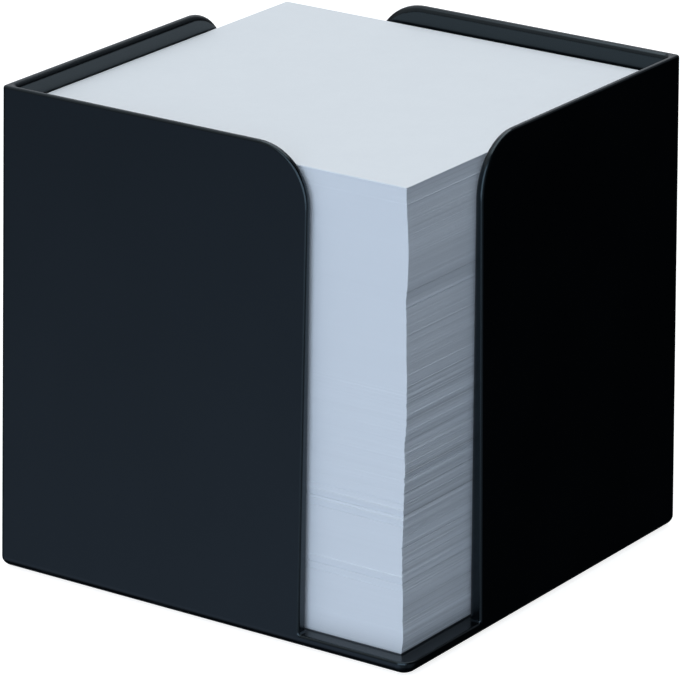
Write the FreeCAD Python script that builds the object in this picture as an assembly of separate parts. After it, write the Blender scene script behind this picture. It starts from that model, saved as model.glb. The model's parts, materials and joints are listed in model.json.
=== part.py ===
import FreeCAD, Part
import math
import os

# Memo sheet holder: one moulded holder, open at two opposite corners, filled
# with a loose stack of square note sheets.
#
# Frame: origin at the centre of the underside, +Z up, the four walls square to
# X and Y. The open corners are at (+X, -Y) and (-X, +Y).
# All lengths are in millimetres.

V = FreeCAD.Vector
os.makedirs("parts", exist_ok=True)

# ---------------------------------------------------------------- holder sizes
RIM_W = 95.0            # outside width at the rim, both ways
HEIGHT = 99.5           # underside to rim
FLARE = 1.2             # how far each outside face leans out at the underside
CLEAR_W = 91.4          # inside width, straight all the way down
FLOOR_TOP = 2.8         # height of the floor the sheets lie on
BASE_R = 2.2            # round-over along the bottom edge
CORNER_R = 0.8          # outside upright edges of the two L walls
SILL_CORNER_R = 3.0     # the base's two free corners, under the openings
INSIDE_R = 1.0          # inside upright edges
SLOT_EDGE_TOP = 24.2    # wall end, from the centre plane, measured at the rim
SLOT_LEAN = 0.75        # how much nearer the centre plane it stands at the floor
SLOT_R = 11.5           # rounded top corner of each wall end
RIM_R_OUT = 0.5         # round-over outside, along rim, wall ends and sills
RIM_R_IN = 1.2          # round-over inside, along rim and wall ends
WALL_FOOT_R = 0.4       # hollow round between walls and floor, and at the wall ends
FOOT_W = 4.5            # width of the standing ring under the base
FOOT_H = 0.6            # depth of the recess inside the ring
FOOT_R = 4.0            # corner radius of the recess
GATE_R = 2.2            # radius of the gate mark in the middle of the recess
GATE_H = 0.25           # how far it stands out of the recess, inside the ring
EJECT_R = 2.5           # radius of the ejector-pin marks on the floor
EJECT_H = 0.1           # their depth
EJECT_AT = 30.0         # distance from the centre planes

# ----------------------------------------------------------------- sheet sizes
SHEET = 90.0            # width of a sheet
PITCH = 0.11            # height that one loose sheet takes up in the stack
STACK_X = -0.05         # the stack's middle in the holder
STACK_Y = -0.25

# The stack from the bottom up: name, number of sheets, shift in X, shift in Y,
# turn in degrees. Each entry is a run of sheets that lie flush with each other;
# the next run stands a little in or out.
RUNS = [
    ("sheets_01", 11, -0.16, 0.05, 0.05),
    ("sheets_02", 38, 0.22, 0.00, -0.06),
    ("sheets_03", 50, 0.06, -0.04, 0.04),
    ("sheets_04", 23, 0.00, 0.03, -0.05),
    ("sheets_05", 50, -0.20, -0.02, 0.06),
    ("sheets_06", 41, -0.28, 0.04, -0.04),
    ("sheets_07", 54, -0.10, 0.00, 0.05),
    ("sheets_08", 53, 0.04, -0.03, -0.06),
    ("sheets_09", 41, 0.16, 0.02, 0.05),
    ("sheets_10", 36, -0.10, 0.04, -0.05),
    ("sheets_11", 18, 0.26, -0.02, 0.04),
    ("sheets_12", 62, 0.34, 0.00, -0.05),
    ("sheets_13", 55, 0.30, 0.03, 0.05),
    ("sheets_14", 27, 0.15, -0.03, -0.04),
    ("sheets_15", 76, 0.04, 0.02, 0.05),
    ("sheets_16", 18, -0.15, 0.04, -0.05),
    ("sheets_17", 36, 0.20, -0.02, 0.05),
    ("sheets_18", 59, 0.34, 0.00, -0.04),
    ("sheets_19", 36, 0.12, 0.03, 0.05),
    ("sheets_20", 29, -0.14, 0.00, -0.04),
    ("sheet_proud", 1, -0.12, -0.02, 0.03),
    ("sheets_21", 27, -0.30, 0.02, 0.03),
    ("sheet_second", 1, -0.36, -0.05, -0.05),
    ("sheet_top", 1, -0.24, 0.06, 0.06),
]


def select(shape, test):
    return [e for e in shape.Edges if test(e)]


def rounded_square(half, z, r):
    """A closed square wire at height z, with rounded corners."""
    k = half - r
    c = r * math.sqrt(0.5)
    e = [
        Part.makeLine(V(-k, -half, z), V(k, -half, z)),
        Part.Arc(V(k, -half, z), V(k + c, -k - c, z), V(half, -k, z)).toShape(),
        Part.makeLine(V(half, -k, z), V(half, k, z)),
        Part.Arc(V(half, k, z), V(k + c, k + c, z), V(k, half, z)).toShape(),
        Part.makeLine(V(k, half, z), V(-k, half, z)),
        Part.Arc(V(-k, half, z), V(-k - c, k + c, z), V(-half, k, z)).toShape(),
        Part.makeLine(V(-half, k, z), V(-half, -k, z)),
        Part.Arc(V(-half, -k, z), V(-k - c, -k - c, z), V(-k, -half, z)).toShape(),
    ]
    return Part.Wire(e)


def frustum(hb, ht, top):
    """A solid with flat sides that lean in from half width hb to ht."""
    s = Part.makeWedge(-hb, 0, -hb, -ht, -ht, hb, top, hb, ht, ht)
    s.rotate(V(0, 0, 0), V(1, 0, 0), 90)
    return s


def wall_end_cutter(y0, y1):
    """Everything to the +X side of a wall end, between y0 and y1.

    The wall end leans slightly and turns over into the rim with the rounded
    top corner.
    """
    top = HEIGHT

    def edge_x(z):
        return SLOT_EDGE_TOP - SLOT_LEAN * (top - z) / (top - FLOOR_TOP)
    ang = math.atan2(SLOT_LEAN, top - FLOOR_TOP)
    # circle tangent to the rim plane and to the leaning line
    cz = top - SLOT_R
    cx = edge_x(cz) - SLOT_R / math.cos(ang)
    tz = cz - SLOT_R * math.sin(ang)
    tx = cx + SLOT_R * math.cos(ang)
    mid = (math.pi / 2 - ang) / 2
    mx = cx + SLOT_R * math.cos(mid)
    mz = cz + SLOT_R * math.sin(mid)
    far = 60.0
    e = [
        Part.makeLine(V(edge_x(FLOOR_TOP), y0, FLOOR_TOP), V(tx, y0, tz)),
        Part.Arc(V(tx, y0, tz), V(mx, y0, mz), V(cx, y0, top)).toShape(),
        Part.makeLine(V(cx, y0, top), V(cx, y0, top + 5)),
        Part.makeLine(V(cx, y0, top + 5), V(far, y0, top + 5)),
        Part.makeLine(V(far, y0, top + 5), V(far, y0, FLOOR_TOP)),
        Part.makeLine(V(far, y0, FLOOR_TOP), V(edge_x(FLOOR_TOP), y0, FLOOR_TOP)),
    ]
    return Part.Face(Part.Wire(e)).extrude(V(0, y1 - y0, 0))


def half_turn(s):
    s = s.copy()
    s.rotate(V(0, 0, 0), V(0, 0, 1), 180)
    return s


def state(label, shape):
    print(label, shape.isValid(), len(shape.Solids), len(shape.Faces), round(shape.Volume, 2))


def make_holder():
    body = frustum(RIM_W / 2 + FLARE, RIM_W / 2, HEIGHT)

    # the base's free corners, the bottom edge, then the L walls' upright edges
    def upright(sx, sy):
        return select(body, lambda e: e.BoundBox.ZLength > 50
                      and sx * e.CenterOfMass.x > 0 and sy * e.CenterOfMass.y > 0)
    body = body.makeFillet(SILL_CORNER_R, upright(1, -1) + upright(-1, 1))
    body = body.makeFillet(BASE_R, select(body, lambda e: e.BoundBox.ZMax < 0.01))
    body = body.makeFillet(CORNER_R, upright(-1, -1) + upright(1, 1))

    # the inside
    room = Part.Face(rounded_square(CLEAR_W / 2, FLOOR_TOP, INSIDE_R)).extrude(V(0, 0, HEIGHT))
    body = body.cut(room)

    # the two open corners
    y_wall = wall_end_cutter(-60.0, -CLEAR_W / 2 + 1.5)     # end of the -Y wall
    x_wall = y_wall.mirror(V(0, 0, 0), V(1, 1, 0))          # end of the +X wall
    for c in (y_wall, x_wall):
        body = body.cut(c)
        body = body.cut(half_turn(c))
    body = body.removeSplitter()
    state("cut", body)

    inner = CLEAR_W / 2

    def on_inner(e):
        b = e.BoundBox
        return max(abs(b.XMin), abs(b.XMax), abs(b.YMin), abs(b.YMax)) < inner + 0.01

    def along_rim(e):
        # rim, rounded wall tops and wall ends, but not the short edges across
        # the wall and not the upright edges of the L walls
        b = e.BoundBox
        if b.ZMin > HEIGHT - 0.01:
            across = e.Length < 3.0 and (b.XLength < 0.01 or b.YLength < 0.01)
            return not across
        if b.ZMax > HEIGHT - 0.01 and b.ZMin > HEIGHT - SLOT_R - 1:
            return True
        m = e.CenterOfMass
        return b.ZLength > 50 and min(abs(m.x), abs(m.y)) < SLOT_EDGE_TOP + 0.5

    body = body.makeFillet(RIM_R_IN, select(body, lambda e: along_rim(e) and on_inner(e)))
    state("rim inside", body)

    # where the walls stand on the floor: the round follows each wall all along
    def wall_foot(e):
        b = e.BoundBox
        m = e.CenterOfMass
        flat = abs(b.ZMin - FLOOR_TOP) < 0.01 and abs(b.ZMax - FLOOR_TOP) < 0.01
        lo = min(abs(m.x), abs(m.y))
        return flat and abs(lo - (SLOT_EDGE_TOP - SLOT_LEAN)) < 0.05 and 0.8 < e.Length < 3.5
    body = body.makeFillet(WALL_FOOT_R, select(body, wall_foot))
    state("wall feet", body)

    # one round-over all the way round the outside: rim, rounded wall tops, wall
    # ends, feet and sills
    def outer(e):
        b = e.BoundBox
        m = e.CenterOfMass
        if b.ZMin < FLOOR_TOP - 0.01 or (b.ZLength > 50 and min(abs(m.x), abs(m.y)) > 40):
            return False
        return all(abs(max(abs(v.X), abs(v.Y)) - RIM_W / 2 - FLARE * (1 - v.Z / HEIGHT)) < 0.02
                   for v in e.Vertexes)
    body = body.makeFillet(RIM_R_OUT, select(body, outer))
    state("outside", body)

    # the underside: a recess inside a standing ring, with the gate mark
    flat_half = RIM_W / 2 + FLARE - BASE_R
    recess = Part.Face(rounded_square(flat_half - FOOT_W, 0.0, FOOT_R)).extrude(V(0, 0, FOOT_H))
    gate = Part.makeCylinder(GATE_R, GATE_H, V(0, 0, FOOT_H - GATE_H))
    body = body.cut(recess.cut(gate))

    # ejector-pin marks in the floor
    for sx in (-1, 1):
        for sy in (-1, 1):
            body = body.cut(Part.makeCylinder(
                EJECT_R, 1.0, V(sx * EJECT_AT, sy * EJECT_AT, FLOOR_TOP - EJECT_H)))
    state("underside", body)
    return body


def make_run(count, z, dx, dy, turn):
    """A run of sheets that lie flush: a flat square block, count sheets high."""
    s = Part.makeBox(SHEET, SHEET, count * PITCH, V(-SHEET / 2, -SHEET / 2, z))
    s.rotate(V(0, 0, 0), V(0, 0, 1), turn)
    s.translate(V(STACK_X + dx, STACK_Y + dy, 0))
    return s


holder = make_holder()
state("holder", holder)
holder.exportStep("parts/holder.step")

# the stack, laid on the floor from the bottom up
done = 0
reach = 0.0
for name, count, dx, dy, turn in RUNS:
    run = make_run(count, FLOOR_TOP + done * PITCH, dx, dy, turn)
    b = run.BoundBox
    reach = max(reach, abs(b.XMin), abs(b.XMax), abs(b.YMin), abs(b.YMax))
    run.exportStep("parts/" + name + ".step")
    done += count
print("sheets", done, "stack top", round(FLOOR_TOP + done * PITCH, 3),
      "least gap to the walls", round(CLEAR_W / 2 - reach, 3))
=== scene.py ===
"""Memo sheet holder: a satin black moulding full of loose square note sheets.

Everything is in metres, in the CAD frame: origin at the centre of the underside,
+Z up, walls square to X and Y, the open corners at (+X, -Y) and (-X, +Y).
"""

import json
import math
import random

import bpy
from mathutils import Matrix, Vector


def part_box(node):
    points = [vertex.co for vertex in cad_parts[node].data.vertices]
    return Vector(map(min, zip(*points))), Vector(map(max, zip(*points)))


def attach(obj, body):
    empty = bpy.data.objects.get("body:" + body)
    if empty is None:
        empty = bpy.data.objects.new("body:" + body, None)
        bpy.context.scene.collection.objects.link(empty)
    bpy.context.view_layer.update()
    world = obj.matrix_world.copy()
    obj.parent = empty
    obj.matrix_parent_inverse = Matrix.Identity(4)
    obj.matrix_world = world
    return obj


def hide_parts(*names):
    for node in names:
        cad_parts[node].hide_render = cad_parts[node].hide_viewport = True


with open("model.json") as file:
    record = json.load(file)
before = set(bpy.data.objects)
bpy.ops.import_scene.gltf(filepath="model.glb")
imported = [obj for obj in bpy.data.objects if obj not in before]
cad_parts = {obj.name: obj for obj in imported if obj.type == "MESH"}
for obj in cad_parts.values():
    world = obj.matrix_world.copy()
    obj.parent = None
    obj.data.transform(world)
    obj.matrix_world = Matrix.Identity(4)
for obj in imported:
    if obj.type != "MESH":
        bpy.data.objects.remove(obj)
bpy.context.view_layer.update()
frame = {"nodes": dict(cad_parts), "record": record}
scene = bpy.context.scene
MM = 0.001

# ------------------------------------------------------------------- camera
CAM_AZ, CAM_EL, CAM_ROLL = 34.309, 19.533, 0.478      # degrees
CAM_AT = Vector((0.53941, -0.79154, 0.38352))
CAM_LENS = 271.57                                     # mm on a 36 mm sensor


def make_camera():
    a, e, r = (math.radians(v) for v in (CAM_AZ, CAM_EL, CAM_ROLL))
    back = Vector((math.sin(a) * math.cos(e), -math.cos(a) * math.cos(e), math.sin(e)))
    right = (-back).cross(Vector((0, 0, 1))).normalized()
    up = right.cross(-back)
    x = right * math.cos(r) + up * math.sin(r)
    y = up * math.cos(r) - right * math.sin(r)
    data = bpy.data.cameras.new("camera")
    data.sensor_width = 36.0
    data.lens = CAM_LENS
    data.clip_start, data.clip_end = 0.05, 50.0
    cam = bpy.data.objects.new("camera", data)
    scene.collection.objects.link(cam)
    m = Matrix((x, y, back)).transposed().to_4x4()
    m.translation = CAM_AT
    cam.matrix_world = m
    scene.camera = cam
    return cam


make_camera()


# ------------------------------------------------------------- node helpers
class Tree:
    """Short calls for building a node tree."""

    def __init__(self, tree):
        self.t = tree
        self.t.nodes.clear()

    def link(self, a, b):
        self.t.links.new(a, b)

    def math(self, op, a, b=None, clamp=False):
        n = self.t.nodes.new("ShaderNodeMath")
        n.operation = op
        n.use_clamp = clamp
        for i, v in enumerate((a, b)):
            if v is None:
                continue
            if hasattr(v, "is_linked"):
                self.link(v, n.inputs[i])
            else:
                n.inputs[i].default_value = v
        return n.outputs[0]

    def ramp(self, value, lo, hi, out_lo, out_hi, smooth=True):
        n = self.t.nodes.new("ShaderNodeMapRange")
        n.interpolation_type = "SMOOTHSTEP" if smooth else "LINEAR"
        self.link(value, n.inputs["Value"])
        for name, v in (("From Min", lo), ("From Max", hi), ("To Min", out_lo), ("To Max", out_hi)):
            n.inputs[name].default_value = v
        return n.outputs["Result"]

    def noise(self, vector, scale, detail=2.0, rough=0.5, dims="3D"):
        n = self.t.nodes.new("ShaderNodeTexNoise")
        n.noise_dimensions = dims
        self.link(vector, n.inputs["Vector"])
        n.inputs["Scale"].default_value = scale
        n.inputs["Detail"].default_value = detail
        n.inputs["Roughness"].default_value = rough
        return n.outputs["Fac"]

    def mapped(self, vector, scale, rotate=(0, 0, 0), move=(0, 0, 0)):
        n = self.t.nodes.new("ShaderNodeMapping")
        self.link(vector, n.inputs["Vector"])
        n.inputs["Scale"].default_value = scale
        n.inputs["Rotation"].default_value = rotate
        n.inputs["Location"].default_value = move
        return n.outputs["Vector"]

    def mix(self, fac, a, b, kind="MIX"):
        n = self.t.nodes.new("ShaderNodeMix")
        n.data_type = "RGBA"
        n.blend_type = kind
        if hasattr(fac, "is_linked"):
            self.link(fac, n.inputs["Factor"])
        else:
            n.inputs["Factor"].default_value = fac
        for name, v in (("A", a), ("B", b)):
            s = [q for q in n.inputs if q.name == name and q.type == "RGBA"][0]
            if hasattr(v, "is_linked"):
                self.link(v, s)
            else:
                s.default_value = (*v, 1.0)
        return [q for q in n.outputs if q.type == "RGBA"][0]


def new_material(name):
    m = bpy.data.materials.new(name)
    m.use_nodes = True
    t = Tree(m.node_tree)
    out = t.t.nodes.new("ShaderNodeOutputMaterial")
    bsdf = t.t.nodes.new("ShaderNodeBsdfPrincipled")
    t.link(bsdf.outputs["BSDF"], out.inputs["Surface"])
    coord = t.t.nodes.new("ShaderNodeTexCoord")
    return m, t, bsdf, coord.outputs["Object"]


# ---------------------------------------------------------- holder's plastic
def plastic_material():
    """Moulded black styrene: a satin face with a fine spark-eroded grain, a
    little unevenness of the gloss and the odd hairline."""
    m, t, b, pos = new_material("satin_black_plastic")
    # colour: nearly black with a cold cast, a touch uneven
    cloud = t.noise(pos, 38.0, 3.0, 0.55)
    col = t.mix(t.ramp(cloud, 0.3, 0.7, 0.0, 1.0), (0.0010, 0.0014, 0.0019), (0.0016, 0.0021, 0.0027))
    # a few specks of dust
    dust = t.t.nodes.new("ShaderNodeTexVoronoi")
    dust.feature = "F1"
    t.link(t.mapped(pos, (1, 1, 1)), dust.inputs["Vector"])
    dust.inputs["Scale"].default_value = 260.0
    dust.inputs["Randomness"].default_value = 1.0
    speck = t.ramp(dust.outputs["Distance"], 0.0, 0.05, 1.0, 0.0)
    some = t.ramp(t.noise(pos, 90.0, 1.0), 0.60, 0.70, 0.0, 0.30)
    col = t.mix(t.math("MULTIPLY", speck, some), col, (0.05, 0.055, 0.06))
    # wear: patches of the rim rubbed smoother by hands, and fine scuffs on the
    # lower edge where it slides over the desk
    sep = t.t.nodes.new("ShaderNodeSeparateXYZ")
    t.link(pos, sep.inputs["Vector"])
    rubbed = t.math("MULTIPLY", t.ramp(sep.outputs["Z"], 0.0985, 0.0993, 0.0, 1.0),
                    t.ramp(t.noise(pos, 85.0, 3.0, 0.6), 0.42, 0.62, 0.0, 1.0))
    scuff = t.math("MULTIPLY", t.ramp(sep.outputs["Z"], 0.0006, 0.0021, 1.0, 0.0),
                   t.ramp(t.noise(t.mapped(pos, (0.25, 0.25, 2.0)), 700.0, 3.0, 0.65), 0.52, 0.66, 0.0, 1.0))
    col = t.mix(t.math("MULTIPLY", scuff, 0.55), col, (0.0075, 0.0082, 0.0090))
    t.link(col, b.inputs["Base Color"])
    # gloss: broad smears plus fine variation
    smear = t.noise(t.mapped(pos, (1, 1, 0.45), (0.2, 0.1, 0.5)), 55.0, 4.0, 0.6)
    fine = t.noise(pos, 900.0, 2.0, 0.5)
    rough = t.math("ADD", t.ramp(smear, 0.3, 0.7, 0.19, 0.235, False), t.math("MULTIPLY", fine, 0.03))
    rough = t.math("SUBTRACT", rough, t.math("MULTIPLY", rubbed, 0.045))
    rough = t.math("ADD", rough, t.math("MULTIPLY", scuff, 0.16))
    t.link(rough, b.inputs["Roughness"])
    b.inputs["IOR"].default_value = 1.5
    b.inputs["Specular IOR Level"].default_value = 0.58
    b.inputs["Specular Tint"].default_value = (0.68, 0.88, 1.0, 1.0)
    # grain and hairlines
    grain = t.noise(pos, 4200.0, 2.0, 0.6)
    wave = t.noise(pos, 60.0, 1.0, 0.4)
    scratch = t.t.nodes.new("ShaderNodeTexVoronoi")
    scratch.feature = "DISTANCE_TO_EDGE"
    t.link(t.mapped(pos, (1, 1, 0.18), (0.4, 0.3, 0.9)), scratch.inputs["Vector"])
    scratch.inputs["Scale"].default_value = 45.0
    line = t.ramp(scratch.outputs["Distance"], 0.0, 0.0035, 1.0, 0.0)
    where = t.ramp(t.noise(pos, 70.0, 2.0), 0.58, 0.66, 0.0, 1.0)
    line = t.math("MULTIPLY", line, where)
    h = t.math("ADD", t.math("MULTIPLY", grain, 0.25), t.math("MULTIPLY", wave, 1.1))
    h = t.math("SUBTRACT", h, t.math("MULTIPLY", line, 0.12))
    bump = t.t.nodes.new("ShaderNodeBump")
    bump.inputs["Strength"].default_value = 0.35
    bump.inputs["Distance"].default_value = 0.00001
    t.link(h, bump.inputs["Height"])
    t.link(bump.outputs["Normal"], b.inputs["Normal"])
    return m


# --------------------------------------------------------------- the paper
def paper_material():
    """Uncoated white note paper: fine fibres on the flat, and cut edges with
    slight differences from sheet to sheet, part random tone and part painted shade and highlight."""
    m, t, b, pos = new_material("note_paper")
    geo = t.t.nodes.new("ShaderNodeNewGeometry")
    sep = t.t.nodes.new("ShaderNodeSeparateXYZ")
    t.link(geo.outputs["True Normal"], sep.inputs["Vector"])
    flat = t.ramp(t.math("ABSOLUTE", sep.outputs["Z"]), 0.5, 0.9, 0.0, 1.0)
    # one tone per sheet, carried by the mesh: a random tone, with painted shade and highlight on stray sheets
    # and painted shade on the bottom sheets
    tone = t.t.nodes.new("ShaderNodeAttribute")
    tone.attribute_name = "tone"
    # the flat: fibres in two directions and a slight cloudiness of the pulp
    fib_a = t.noise(t.mapped(pos, (1.0, 0.22, 1.0), (0, 0, 0.5)), 1900.0, 3.0, 0.6)
    fib_b = t.noise(t.mapped(pos, (0.25, 1.0, 1.0), (0, 0, 0.2)), 1500.0, 3.0, 0.6)
    fibre = t.math("MULTIPLY", t.math("ADD", fib_a, fib_b), 0.5)
    cloud = t.noise(pos, 130.0, 3.0, 0.6)
    shade = t.math("ADD", t.math("MULTIPLY", fibre, 0.6), t.math("MULTIPLY", cloud, 0.4))
    top = t.mix(t.ramp(shade, 0.35, 0.65, 0.0, 1.0, False), (0.795, 0.825, 0.860), (0.815, 0.845, 0.878))
    # the cut edge: streaks along the sheets
    streak = t.noise(t.mapped(pos, (0.02, 0.02, 1.0)), 5200.0, 2.0, 0.7)
    # the knife left the two sides that face X rougher than the other two; the painted shade and highlight in
    # the sheet tone also show on those two sides only
    side = t.ramp(t.math("ABSOLUTE", sep.outputs["X"]), 0.5, 0.9, 0.05, 1.0)
    sheet_tone_and_shade = t.math("SUBTRACT", tone.outputs["Fac"], 0.75)
    fibre_tone = t.math("MULTIPLY", t.math("SUBTRACT", streak, 0.5), 0.07)
    edge_tone_and_shade = t.math("ADD", t.math("MULTIPLY", t.math("ADD", sheet_tone_and_shade, fibre_tone), side), 0.75)
    edge = t.mix(edge_tone_and_shade, (0.432, 0.452, 0.480), (0.903, 0.945, 1.0))
    # painted shade: the edges of the lowest sheets, beside the sill, darkened a little towards grey
    shade_height = t.t.nodes.new("ShaderNodeSeparateXYZ")
    t.link(pos, shade_height.inputs["Vector"])
    edge = t.mix(t.ramp(shade_height.outputs["Z"], 0.0028, 0.0080, 0.30, 0.0), edge, (0.50, 0.52, 0.55))
    t.link(t.mix(flat, edge, top), b.inputs["Base Color"])
    b.inputs["Roughness"].default_value = 0.86
    b.inputs["Specular IOR Level"].default_value = 0.25
    h = t.math("ADD", fibre, t.math("MULTIPLY", streak, 0.5))
    bump = t.t.nodes.new("ShaderNodeBump")
    bump.inputs["Strength"].default_value = 0.25
    bump.inputs["Distance"].default_value = 0.00003
    t.link(h, bump.inputs["Height"])
    t.link(bump.outputs["Normal"], b.inputs["Normal"])
    return m


plastic = plastic_material()
paper = paper_material()

holder = frame["nodes"]["holder"]
holder.data.materials.clear()
holder.data.materials.append(plastic)

# ----------------------------------------------------------- the loose sheets
PITCH = 0.11 * MM          # height that one loose sheet takes up
AIR = 0.004 * MM           # of which this much is air
SHEET = 90.0 * MM
ROOM = 45.7 * MM           # the walls' inside faces
rng = random.Random(2074)


class Jitter:
    """How far each sheet lies from its neighbours, as a jogged block does:
    neighbours mostly agree, and now and then one stands out."""

    def __init__(self, spread, keep, spike, chance):
        self.spread, self.keep, self.spike, self.chance = spread, keep, spike, chance
        self.v = 0.0

    def next(self, size=1.0):
        self.v = self.keep * self.v + rng.gauss(0, self.spread) * math.sqrt(1 - self.keep ** 2)
        out = self.v * size
        if rng.random() < self.chance:
            out += rng.choice((-1, 1)) * rng.uniform(0.5, 1.0) * self.spike * size
        return out


jx = Jitter(0.018 * MM, 0.55, 0.06 * MM, 0.05)
jy = Jitter(0.003 * MM, 0.70, 0.010 * MM, 0.01)
jt = Jitter(0.009, 0.75, 0.02, 0.03)          # degrees
jtone = Jitter(0.044, 0.78, 0.10, 0.06)
jband = Jitter(0.036, 0.96, 0.0, 0.0)

# Places where a few sheets lie noticeably in or out: height in mm, number of
# sheets, shift in X and in Y in mm, and how much lighter their cut edge is painted, as painted shade where
# they are set back and a painted highlight where they stand out.
STRAYS = [
    (75.0, 3, -0.14, 0.0, -0.3), (72.3, 2, 0.05, 0.0, 0.25), (71.9, 3, -0.12, 0.0, -0.25),
    (66.8, 1, 0.06, 0.0, 0.3), (58.9, 1, 0.06, 0.0, 0.3), (55.2, 2, -0.08, 0.0, -0.2),
    (46.4, 4, -0.16, 0.0, -0.35), (45.6, 2, -0.10, 0.0, -0.3), (42.6, 2, -0.06, 0.0, -0.2),
    (38.8, 1, 0.08, 0.0, 0.35), (38.2, 3, -0.15, 0.0, -0.35), (35.2, 3, -0.18, 0.02, -0.4),
    (34.8, 1, 0.05, 0.0, 0.3), (33.2, 3, -0.10, 0.12, -0.2), (31.8, 3, 0.02, -0.16, 0.1),
    (30.7, 4, -0.10, 0.22, -0.3), (29.8, 3, 0.03, -0.17, 0.1), (28.7, 3, -0.04, 0.16, -0.2),
    (26.4, 2, -0.10, 0.0, -0.25), (24.1, 3, -0.14, 0.0, -0.3), (21.0, 1, 0.06, 0.0, 0.3),
    (18.3, 3, 0.04, -0.14, 0.2), (17.0, 3, -0.10, 0.18, -0.3), (15.6, 3, -0.08, 0.12, -0.2),
    (12.6, 1, 0.06, 0.0, 0.3), (9.4, 3, -0.12, 0.0, -0.3), (5.6, 2, -0.08, 0.0, -0.2),
    (2.79, 3, -0.22, 0.22, -0.4),
]


def stray(z):
    dx = dy = tone = 0.0
    for at, count, sx, sy, stray_shading in STRAYS:
        if 0 <= z - at * MM < (count - 0.01) * PITCH:
            # the last column adds painted shade or a painted highlight to these sheets' tone
            dx, dy, tone = dx + sx * MM, dy + sy * MM, tone + stray_shading
    return dx, dy, tone


def sheet_corners(cx, cy, turn, half):
    c, s = math.cos(turn), math.sin(turn)
    return [(cx + c * x - s * y, cy + s * x + c * y)
            for x, y in ((-half, -half), (half, -half), (half, half), (-half, half))]


def run_middle(name):
    lo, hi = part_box(name)
    return (lo + hi) / 2


RUN_NAMES = sorted(n for n in frame["nodes"] if n.startswith("sheets_"))
MIDDLES = sorted((run_middle(n) for n in RUN_NAMES), key=lambda p: p.z)


def drift(z, own):
    """Where the stack's middle is at height z: the runs' places, eased into
    each other so that the side of the stack undulates."""
    lo = MIDDLES[0]
    for hi in MIDDLES[1:]:
        if z < hi.z:
            break
        lo = hi
    if hi.z <= lo.z or z <= lo.z:
        p = lo
    else:
        p = lo.lerp(hi, min(1.0, (z - lo.z) / (hi.z - lo.z)))
    return 0.12 * own.x + 0.88 * p.x, 0.12 * own.y + 0.88 * p.y


def make_run(name, body):
    """The sheets of one CAD node, each a thin closed box of its own."""
    lo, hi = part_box(name)
    own = (lo + hi) / 2
    count = round((hi.z - lo.z) / PITCH)
    single = count == 1
    verts, faces, tones = [], [], []
    for k in range(count):
        z0 = lo.z + k * PITCH
        z1 = z0 + PITCH - AIR
        if single:
            cx, cy, turn, stray_shading, loose = own.x, own.y, 0.0, 0.0, 0.0
        else:
            # the lower half was jogged less well, and worst a little above its middle
            loose = 1.4 if z0 < 36 * MM else 2.3 if z0 < 57 * MM else 0.7 if z0 < 76 * MM else 0.55
            cx, cy = drift(z0, own)
            sx, sy, stray_shading = stray(z0)
            cx += jx.next(loose) + sx
            cy += jy.next(loose) + sy
            turn = math.radians(jt.next(loose))
        pts = sheet_corners(cx, cy, turn, SHEET / 2)
        # no sheet reaches a wall
        for axis in (0, 1):
            top = max(p[axis] for p in pts)
            bottom = min(p[axis] for p in pts)
            limit = ROOM - 0.1 * MM
            push = min(0.0, limit - top) + max(0.0, -limit - bottom)
            pts = [tuple(c + push if i == axis else c for i, c in enumerate(p)) for p in pts]
        n = len(verts)
        verts += [(x, y, z0) for x, y in pts] + [(x, y, z1) for x, y in pts]
        faces += [(n + 3, n + 2, n + 1, n), (n + 4, n + 5, n + 6, n + 7)]
        faces += [(n + i, n + (i + 1) % 4, n + 4 + (i + 1) % 4, n + 4 + i) for i in range(4)]
        bottom_shade = max(0.0, 1 - (z0 - 2.8 * MM) / (2.6 * MM))        # painted shade on the bottom sheets, beside the sill
        rough_cut = 2.9 if loose > 2 else 2.2 if loose > 1 else 1.0
        # the sheet's tone: a random tone plus painted shade and highlight on stray sheets and painted shade
        # on the bottom sheets
        tone = 0.75 + 0.6 * stray_shading - 0.42 * bottom_shade
        if not single:
            tone += jtone.next(rough_cut) + jband.next(rough_cut)
        tones += [min(0.93, max(0.0, tone))] * 6
    me = bpy.data.meshes.new(name + "_paper")
    me.from_pydata(verts, [], faces)
    att = me.attributes.new("tone", "FLOAT", "FACE")
    att.data.foreach_set("value", tones)
    me.materials.append(paper)
    me.validate()
    ob = bpy.data.objects.new(name + "_paper", me)
    scene.collection.objects.link(ob)
    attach(ob, body)
    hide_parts(name)
    return ob


body_of_node = {}
for body_name, body_nodes in frame["record"]["behaviour"]["bodies"].items():
    for node_name in body_nodes:
        body_of_node[node_name] = body_name
for name in sorted(n for n in frame["nodes"] if n != "holder"):
    make_run(name, body_of_node[name])


# ---------------------------------------------------------------- the stage
def make_floor():
    me = bpy.data.meshes.new("floor")
    s = 4.0
    me.from_pydata([(-s, -s, 0), (s, -s, 0), (s, s, 0), (-s, s, 0)], [], [(0, 1, 2, 3)])
    ob = bpy.data.objects.new("floor", me)
    scene.collection.objects.link(ob)
    m, t, b, pos = new_material("pale_floor")
    tone = t.noise(pos, 3.0, 2.0)
    col = t.mix(tone, (0.49, 0.49, 0.49), (0.51, 0.51, 0.51))
    t.link(col, b.inputs["Base Color"])
    b.inputs["Roughness"].default_value = 0.9
    b.inputs["Specular IOR Level"].default_value = 0.1
    b.inputs["Emission Color"].default_value = (1, 1, 1, 1)
    b.inputs["Emission Strength"].default_value = 0.84
    me.materials.append(m)
    # like a light table far below: the camera sees it and shadows fall on it,
    # but it throws no light back at the object
    ob.visible_diffuse = ob.visible_glossy = ob.visible_transmission = ob.visible_shadow = False
    return ob


make_floor()


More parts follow.
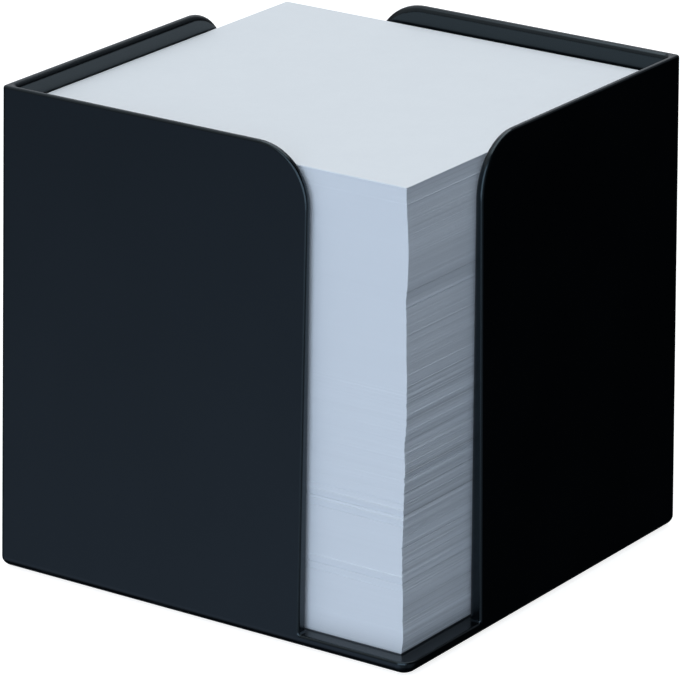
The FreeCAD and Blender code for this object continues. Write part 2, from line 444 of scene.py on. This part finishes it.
def area(name, at, aim, size, power, colour, size_y=None):
    d = bpy.data.lights.new(name, "AREA")
    d.shape = "RECTANGLE"
    d.size, d.size_y = size, size_y or size
    d.energy = power
    d.color = colour
    ob = bpy.data.objects.new(name, d)
    scene.collection.objects.link(ob)
    ob.location = at
    ob.rotation_mode = "QUATERNION"
    ob.rotation_quaternion = (Vector(aim) - Vector(at)).to_track_quat("-Z", "Y")
    ob.visible_camera = False
    return ob


area("key_top", (-0.10, 0.30, 1.25), (-0.10, 0.30, 0), 1.1, 9.76, (0.958, 0.993, 1.000), 1.6)
area("fill_front", (0.52, -1.48, 0.50), (0, 0, 0.05), 1.7, 20.66, (0.729, 0.852, 1.000), 1.9)


def make_world():
    """The room: dark and dull around, with one dim reflector low at the front
    left; white only where the camera looks past the floor."""
    w = bpy.data.worlds.new("studio")
    scene.world = w
    w.use_nodes = True
    t = Tree(w.node_tree)
    out = t.t.nodes.new("ShaderNodeOutputWorld")
    coord = t.t.nodes.new("ShaderNodeTexCoord")
    d = coord.outputs["Generated"]
    total = None

    def light(name, colour, strength, axis=None, c0=0.0, c1=1.0):
        nonlocal total
        bg = t.t.nodes.new("ShaderNodeBackground")
        bg.name = name
        bg.inputs["Strength"].default_value = strength
        if axis is None:
            bg.inputs["Color"].default_value = (*colour, 1.0)
        else:
            n = t.t.nodes.new("ShaderNodeVectorMath")
            n.operation = "DOT_PRODUCT"
            t.link(d, n.inputs[0])
            n.inputs[1].default_value = Vector(axis).normalized()
            t.link(t.mix(t.ramp(n.outputs["Value"], c0, c1, 0.0, 1.0), (0, 0, 0), colour), bg.inputs["Color"])
        if total is None:
            total = bg.outputs["Background"]
        else:
            add = t.t.nodes.new("ShaderNodeAddShader")
            t.link(total, add.inputs[0])
            t.link(bg.outputs["Background"], add.inputs[1])
            total = add.outputs["Shader"]

    for row in WORLD:
        light(*row)
    white = t.t.nodes.new("ShaderNodeBackground")
    white.name = "beyond"
    white.inputs["Color"].default_value = (1, 1, 1, 1)
    white.inputs["Strength"].default_value = 1.0
    path = t.t.nodes.new("ShaderNodeLightPath")
    mix = t.t.nodes.new("ShaderNodeMixShader")
    t.link(path.outputs["Is Camera Ray"], mix.inputs["Fac"])
    t.link(total, mix.inputs[1])
    t.link(white.outputs["Background"], mix.inputs[2])
    t.link(mix.outputs["Shader"], out.inputs["Surface"])


# name, colour, strength, direction, and the cosines between which it fades in
WORLD = [
    ("ambient", (0.003, 0.004, 0.005), 1.0),
    ("low_left", (0.415, 0.475, 0.60), 1.0, (-0.40, -0.84, -0.62), 0.84, 1.0),
    ("low_front", (0.23, 0.25, 0.28), 1.0, (0.25, -0.90, -0.35), 0.74, 0.96),
    ("low_right", (0.075, 0.082, 0.093), 1.0, (0.776, -0.534, -0.336), 0.80, 0.97),
    ("right", (0.15, 0.167, 0.19), 1.0, (0.94, -0.07, -0.334), 0.78, 0.96),
    ("high_left", (0.44, 0.44, 0.44), 1.0, (-0.55, -0.48, 0.55), 0.66, 0.93),
    ("top_left", (0.44, 0.46, 0.49), 1.0, (-0.56, 0.30, 0.77), 0.78, 0.96),
    ("back_left", (0.46, 0.48, 0.51), 1.0, (-0.53, 0.79, 0.24), 0.78, 0.96),
    ("back", (0.14, 0.15, 0.165), 1.0, (0.10, 0.79, 0.60), 0.74, 0.95),
    ("low_back", (0.26, 0.29, 0.34), 1.0, (-0.776, 0.534, -0.336), 0.84, 0.97),
]
make_world()

scene.view_settings.view_transform = "Standard"
scene.view_settings.look = "None"
scene.view_settings.exposure = 0.0
scene.view_settings.gamma = 1.0
